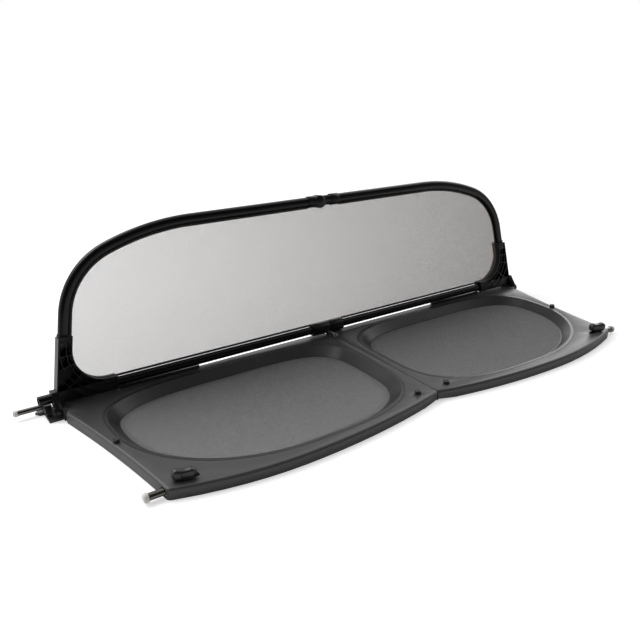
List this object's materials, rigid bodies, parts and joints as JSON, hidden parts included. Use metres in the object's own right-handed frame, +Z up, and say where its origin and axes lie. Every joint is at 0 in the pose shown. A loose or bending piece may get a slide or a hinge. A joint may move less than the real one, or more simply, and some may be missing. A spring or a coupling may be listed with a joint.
{
  "type": "convertible wind deflector",
  "caption": "Folding wind deflector: hinged deck halves with mesh wells, an upright tube-framed mesh screen, and locating pins at the corners.",
  "frame": {"origin": "on the floor under the middle of the whole's outline seen from above, 17 mm from the seam on the side of the long rear pin", "axes": "+X across the car towards the half with the short rear pin, +Y to the rear and the screen, +Z up"},
  "size_m": [1.335, 0.4478, 0.3336],
  "materials": {
    "deck": "satin, fine grain",
    "ring": "satin",
    "well_cloth": "fine mesh",
    "rubber": "matt",
    "bracket": "satin grey paint",
    "screw": "blackened",
    "pivot": "dark, semi-gloss",
    "pin_steel": "dark, polished",
    "tip": "gloss white",
    "knob": "satin",
    "spring": "bright wire",
    "tube": "satin black powder coat",
    "moulding": "satin, grey-brown",
    "screen_cloth": "fine semi-transparent mesh"
  },
  "bodies": {
    "deck_left": {"deck_left": "deck", "well_ring_left": "ring", "well_mesh_left": "well_cloth", "buffers_left": "rubber", "corner_bracket_left": "bracket", "bracket_screws_left": "screw", "pivot_pin_left": "pivot", "rear_pin_left": "pin_steel", "rear_tip_left": "tip", "deck_hinge_pin": "screw", "centre_pin": "screw", "pin_spring_left": "spring"},
    "deck_right": {"deck_right": "deck", "well_ring_right": "ring", "well_mesh_right": "well_cloth", "buffers_right": "rubber", "corner_bracket_right": "bracket", "bracket_screws_right": "screw", "rear_pin_right": "pin_steel", "rear_tip_right": "tip", "pin_spring_right": "spring"},
    "pin_left": {"front_pin_left": "pin_steel", "front_tip_left": "tip", "knob_left": "knob", "knob_screw_left": "screw"},
    "pin_right": {"front_pin_right": "pin_steel", "front_tip_right": "tip", "knob_right": "knob", "knob_screw_right": "screw"},
    "screen_left": {"upper_tube_left": "tube", "corner_left": "moulding", "lower_rail_left": "tube", "top_joint_left": "moulding", "bottom_joint_left": "moulding", "screen_mesh": "screen_cloth"},
    "screen_right": {"upper_tube_right": "tube", "corner_right": "moulding", "lower_rail_right": "tube", "top_joint_right": "moulding", "bottom_joint_right": "moulding", "pivot_pin_right": "pivot"}
  },
  "joints": [
    {"name": "deck_fold", "type": "hinge", "parent": "deck_left", "child": "deck_right", "pos_m": [0.017, -0.006, 0.003], "axis": [0, 1, 0], "range_deg": [0, 170]},
    {"name": "screen_fold", "type": "hinge", "parent": "deck_left", "child": "screen_left", "pos_m": [0.017, 0.156, 0.017], "axis": [1, 0, 0], "range_deg": [0, 97]},
    {"name": "screen_centre_fold", "type": "hinge", "parent": "screen_left", "child": "screen_right", "pos_m": [0.017, 0.1421, 0.01871], "axis": [0, -0.1219, -0.9925], "range_deg": [0, 170], "deforming": ["screen_mesh"]},
    {"name": "pin_slide_left", "type": "slide", "parent": "deck_left", "child": "pin_left", "axis": [1, 0, 0], "range_m": [0, 0.02], "stiffness_N_per_m": 300, "springref_m": -0.02, "deforming": ["pin_spring_left"]},
    {"name": "pin_slide_right", "type": "slide", "parent": "deck_right", "child": "pin_right", "axis": [-1, 0, 0], "range_m": [0, 0.02], "stiffness_N_per_m": 300, "springref_m": -0.02, "deforming": ["pin_spring_right"]}
  ],
  "couplings": [
    {"joint": "screen_centre_fold", "follows": "deck_fold", "ratio": 1}
  ]
}
